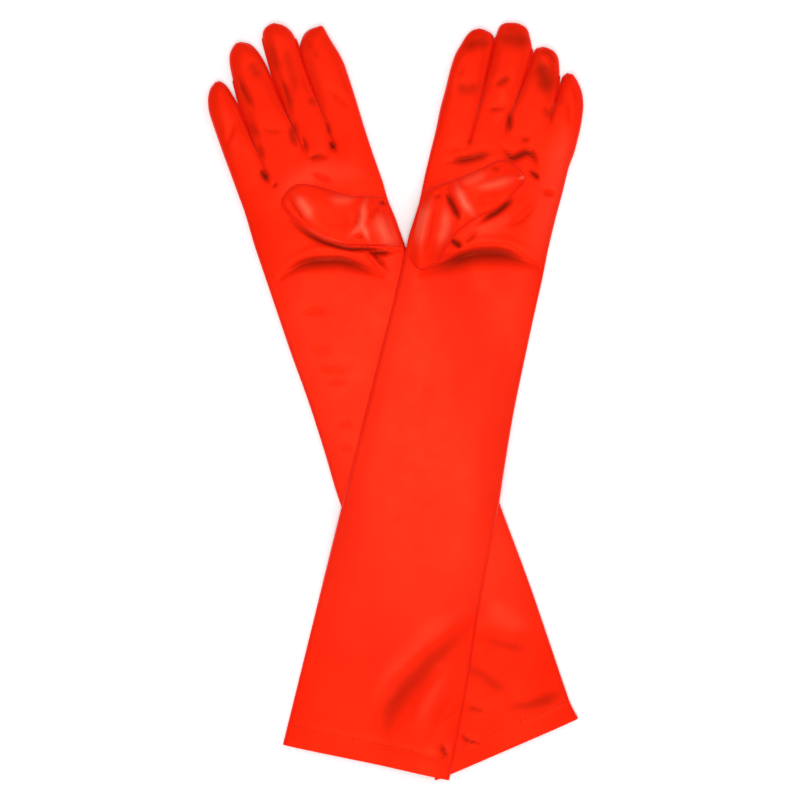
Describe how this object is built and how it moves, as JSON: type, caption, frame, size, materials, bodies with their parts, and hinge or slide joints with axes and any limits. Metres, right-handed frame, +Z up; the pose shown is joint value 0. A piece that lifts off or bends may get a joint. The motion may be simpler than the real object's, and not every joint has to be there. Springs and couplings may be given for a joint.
{
  "type": "opera gloves",
  "caption": "Pair of opera-length satin gloves laid palm up and crossed, thumbs folded over the palms, with separate fingers, fourchettes and turned hems.",
  "frame": {"origin": "on the floor below the middle of the pair's box", "axes": "+Y from the cuffs to the fingertips, +Z up out of the palms, +X towards the left glove's hand"},
  "size_m": [0.2679, 0.5299, 0.018],
  "materials": {
    "satin": "satin",
    "side_satin": "satin",
    "hem_satin": "satin"
  },
  "bodies": {
    "right_sleeve": {"right_hem_back": "hem_satin", "right_hem_palm": "hem_satin", "right_sleeve_back": "satin", "right_sleeve_fold": "side_satin", "right_sleeve_palm": "satin", "right_sleeve_side_seam": "side_satin"},
    "right_hand": {"right_hand_back": "satin", "right_hand_fold": "side_satin", "right_hand_palm": "satin", "right_hand_side_seam": "side_satin"},
    "right_thumb": {"right_thumb_seam": "side_satin", "right_thumb_top": "satin", "right_thumb_under": "satin"},
    "right_index": {"right_index_back": "satin", "right_index_fold": "side_satin", "right_index_fourchette": "side_satin", "right_index_palm": "satin"},
    "right_middle": {"right_middle_back": "satin", "right_middle_inner_fourchette": "side_satin", "right_middle_outer_fourchette": "side_satin", "right_middle_palm": "satin"},
    "right_ring": {"right_ring_back": "satin", "right_ring_inner_fourchette": "side_satin", "right_ring_outer_fourchette": "side_satin", "right_ring_palm": "satin"},
    "right_little": {"right_little_back": "satin", "right_little_fourchette": "side_satin", "right_little_palm": "satin", "right_little_side_seam": "side_satin"},
    "left_sleeve": {"left_hem_back": "hem_satin", "left_hem_palm": "hem_satin", "left_sleeve_back": "satin", "left_sleeve_fold": "side_satin", "left_sleeve_palm": "satin", "left_sleeve_side_seam_lower": "side_satin", "left_sleeve_side_seam_upper": "side_satin"},
    "left_hand": {"left_hand_back": "satin", "left_hand_fold": "side_satin", "left_hand_palm": "satin", "left_hand_side_seam": "side_satin"},
    "left_thumb": {"left_thumb_seam": "side_satin", "left_thumb_top": "satin", "left_thumb_under": "satin"},
    "left_index": {"left_index_back": "satin", "left_index_fold": "side_satin", "left_index_fourchette": "side_satin", "left_index_palm": "satin"},
    "left_middle": {"left_middle_back": "satin", "left_middle_inner_fourchette": "side_satin", "left_middle_outer_fourchette": "side_satin", "left_middle_palm": "satin"},
    "left_ring": {"left_ring_back": "satin", "left_ring_inner_fourchette": "side_satin", "left_ring_outer_fourchette": "side_satin", "left_ring_palm": "satin"},
    "left_little": {"left_little_back": "satin", "left_little_fourchette": "side_satin", "left_little_palm": "satin", "left_little_side_seam": "side_satin"}
  },
  "joints": [
    {"name": "left_glove_lift", "type": "slide", "parent": "right_sleeve", "child": "left_sleeve", "axis": [0, 0, 1], "range_m": [0, 0.2]},
    {"name": "right_wrist_fold", "type": "hinge", "parent": "right_sleeve", "child": "right_hand", "pos_m": [-0.03802, 0.09351, 0.0064], "axis": [0.9461, 0.3239, 0], "range_deg": [0, 80]},
    {"name": "right_thumb_fold", "type": "hinge", "parent": "right_hand", "child": "right_thumb", "pos_m": [-0.00254, 0.12573, 0.00655], "axis": [-0.3239, 0.9461, 0], "range_deg": [0, 90]},
    {"name": "right_index_curl", "type": "hinge", "parent": "right_hand", "child": "right_index", "pos_m": [-0.03535, 0.19378, 0.0048], "axis": [0.9461, 0.3239, 0], "range_deg": [0, 90]},
    {"name": "right_middle_curl", "type": "hinge", "parent": "right_hand", "child": "right_middle", "pos_m": [-0.05739, 0.18623, 0.0048], "axis": [0.9461, 0.3239, 0], "range_deg": [0, 90]},
    {"name": "right_ring_curl", "type": "hinge", "parent": "right_hand", "child": "right_ring", "pos_m": [-0.08199, 0.17781, 0.0048], "axis": [0.9461, 0.3239, 0], "range_deg": [0, 90]},
    {"name": "right_little_curl", "type": "hinge", "parent": "right_hand", "child": "right_little", "pos_m": [-0.10725, 0.16916, 0.0048], "axis": [0.9461, 0.3239, 0], "range_deg": [0, 90]},
    {"name": "left_wrist_fold", "type": "hinge", "parent": "left_sleeve", "child": "left_hand", "pos_m": [0.05161, 0.08636, 0.0131], "axis": [0.977, -0.213, 0], "range_deg": [0, 80]},
    {"name": "left_thumb_fold", "type": "hinge", "parent": "left_hand", "child": "left_thumb", "pos_m": [0.01284, 0.12449, 0.01325], "axis": [-0.213, -0.977, 0], "range_deg": [0, 90]},
    {"name": "left_index_curl", "type": "hinge", "parent": "left_hand", "child": "left_index", "pos_m": [0.04211, 0.19487, 0.0048], "axis": [0.977, -0.213, 0], "range_deg": [0, 90]},
    {"name": "left_middle_curl", "type": "hinge", "parent": "left_hand", "child": "left_middle", "pos_m": [0.06536, 0.1898, 0.0048], "axis": [0.977, -0.213, 0], "range_deg": [0, 90]},
    {"name": "left_ring_curl", "type": "hinge", "parent": "left_hand", "child": "left_ring", "pos_m": [0.08949, 0.18454, 0.0048], "axis": [0.977, -0.213, 0], "range_deg": [0, 90]},
    {"name": "left_little_curl", "type": "hinge", "parent": "left_hand", "child": "left_little", "pos_m": [0.11441, 0.17911, 0.0048], "axis": [0.977, -0.213, 0], "range_deg": [0, 90]}
  ]
}
